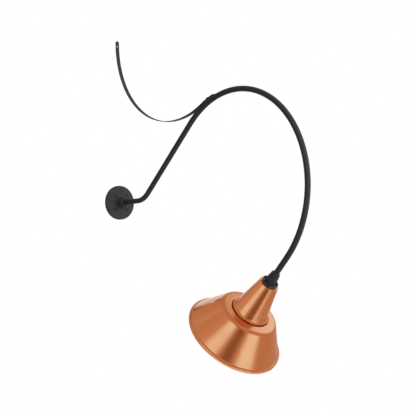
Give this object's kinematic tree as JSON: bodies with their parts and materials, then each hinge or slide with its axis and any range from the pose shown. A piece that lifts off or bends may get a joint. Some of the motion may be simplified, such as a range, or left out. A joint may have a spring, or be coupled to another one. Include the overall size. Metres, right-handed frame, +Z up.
{
  "type": "gooseneck wall light",
  "caption": "Gooseneck wall light: a bent tube arm on a round wall flange with a flat-bar stay carries a conical spun shade tilted back towards the wall.",
  "frame": {"origin": "centre of the wall flange's back face, on the wall", "axes": "+X out of the wall along the arm's first run, +Z up, the arm lies in the plane Y = 0"},
  "size_m": [1.0423, 0.351, 1.2766],
  "materials": {
    "powder_coat_black": "fine textured powder coat",
    "cast_black": "painted casting, slightly rough",
    "gloss_black": "smooth gloss paint",
    "satin_copper": "satin, spun, clear lacquer",
    "blackened_steel": "black oxide",
    "zinc_steel": "zinc plated",
    "spacer_steel": "dark copper-coloured paint",
    "brass_contact": "plain brass",
    "nickel_cap": "bright rolled",
    "black_resin": "moulded",
    "white_ceramic": "glazed ceramic",
    "terminal_white": "moulded",
    "gasket_rubber": "moulded",
    "cable_jacket": "extruded",
    "core_jacket": "extruded",
    "bulb_glass": "clear",
    "filament_wire": "drawn wire"
  },
  "bodies": {
    "wall_arm": {"wall_flange": "cast_black", "wall_gasket": "gasket_rubber", "arm_tube": "powder_coat_black", "arm_locknut": "zinc_steel", "hub_set_screw": "blackened_steel", "terminal_block": "terminal_white", "terminal_screws": "brass_contact", "block_screws": "zinc_steel", "earth_screw": "brass_contact", "stay_strap": "powder_coat_black", "stay_screw": "blackened_steel", "stay_insert": "zinc_steel", "end_coupling": "powder_coat_black", "coupling_screws": "blackened_steel", "inner_cable": "cable_jacket", "wall_cores": "core_jacket"},
    "head": {"swivel_nipple": "zinc_steel", "seal_cup": "gloss_black", "neck": "satin_copper", "clamp_washer": "zinc_steel", "clamp_nut": "zinc_steel", "spacer_ring": "spacer_steel", "shade": "satin_copper", "clamp_screws": "zinc_steel", "clamp_nuts": "zinc_steel", "holder_cap": "black_resin", "holder_body": "black_resin", "holder_insert": "white_ceramic", "screw_shell": "brass_contact", "centre_contact": "brass_contact", "insert_screws": "brass_contact", "lamp_cores": "core_jacket"},
    "bulb": {"bulb_cap": "nickel_cap", "bulb_tip": "nickel_cap", "bulb_glass": "bulb_glass", "filament_stem": "bulb_glass", "filament": "filament_wire"}
  },
  "joints": [
    {"name": "head_turn", "type": "hinge", "parent": "wall_arm", "child": "head", "pos_m": [0.85293, 0, -0.31419], "axis": [-0.7071, 0, -0.7071], "range_deg": [-170, 170]},
    {"name": "bulb_turn", "type": "hinge", "parent": "head", "child": "bulb", "pos_m": [0.79636, 0, -0.37076], "axis": [-0.7071, 0, -0.7071], "range_deg": [0, 810]}
  ]
}
